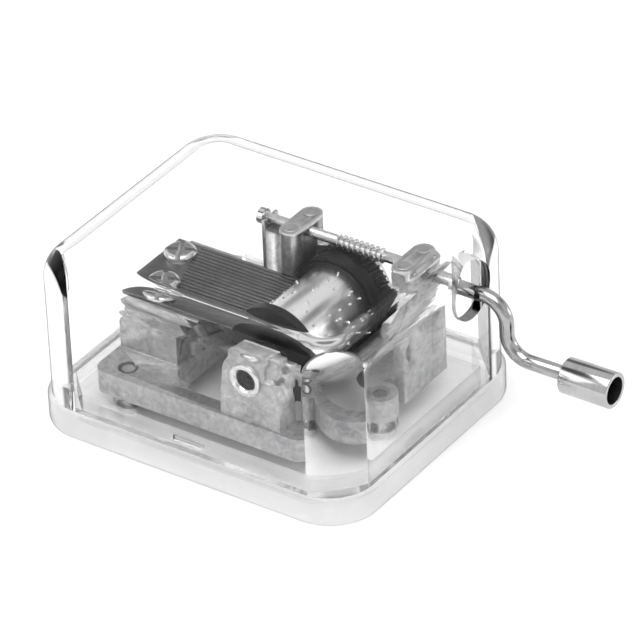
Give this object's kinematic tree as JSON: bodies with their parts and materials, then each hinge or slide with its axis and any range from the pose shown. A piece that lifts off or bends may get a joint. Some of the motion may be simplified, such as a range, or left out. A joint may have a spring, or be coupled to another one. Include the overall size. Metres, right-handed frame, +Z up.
{
  "type": "hand-cranked music box",
  "caption": "Hand-cranked music box: a clear two-part case around a cast bedplate with a steel comb, a pinned cylinder on a worm wheel, and a bent crank with a turning knob.",
  "frame": {"origin": "centre of the case's footprint, on the flat underside it stands on", "axes": "+X towards the crank's side, +Y towards the back of the case, +Z up"},
  "size_m": [0.0924, 0.055, 0.0337],
  "materials": {
    "clear_acrylic": "clear, polished",
    "zinc_casting": "as cast, mottled satin grey",
    "nickel": "bright nickel plate",
    "polished_cylinder": "polished",
    "black_plastic": "moulded, slightly glossy",
    "shaft_steel": "turned steel",
    "comb_steel": "dark hardened steel, ground along the teeth",
    "lead": "dull grey",
    "damper_plastic": "matt",
    "cap_steel": "stamped steel",
    "chrome_wire": "chrome plate on bent wire",
    "chrome_knob": "chrome plate, turned",
    "dark_steel": "dark steel"
  },
  "bodies": {
    "case": {"case_cover": "clear_acrylic", "case_base": "clear_acrylic", "case_screws": "nickel", "bedplate": "zinc_casting", "front_bush": "nickel", "comb": "comb_steel", "comb_screws": "nickel", "comb_weights": "lead", "comb_dampers": "damper_plastic", "left_bearing_cap": "cap_steel", "right_bearing_cap": "cap_steel", "cap_rivets": "zinc_casting", "retainer_fork": "cap_steel", "retainer_rivet": "nickel"},
    "crank": {"worm_shaft": "shaft_steel", "shaft_head": "nickel", "crank_collar": "nickel", "crank_arm": "chrome_wire", "knob_washer": "dark_steel"},
    "cylinder": {"cylinder_sleeve": "polished_cylinder", "cylinder_pins": "nickel", "front_disc": "black_plastic", "worm_wheel": "black_plastic", "cylinder_arbor": "shaft_steel"},
    "knob": {"crank_knob": "chrome_knob"}
  },
  "joints": [
    {"name": "crank_spin", "type": "hinge", "parent": "case", "child": "crank", "pos_m": [0.02, 0.0127, 0.0261], "axis": [1, 0, 0], "continuous": true},
    {"name": "cylinder_spin", "type": "hinge", "parent": "case", "child": "cylinder", "pos_m": [0.0066, 0, 0.01704], "axis": [0, 1, 0], "continuous": true},
    {"name": "knob_spin", "type": "hinge", "parent": "crank", "child": "knob", "pos_m": [0.055, 0.0127, 0.0157], "axis": [1, 0, 0], "continuous": true}
  ],
  "couplings": [
    {"joint": "cylinder_spin", "follows": "crank_spin", "ratio": -0.021739}
  ]
}
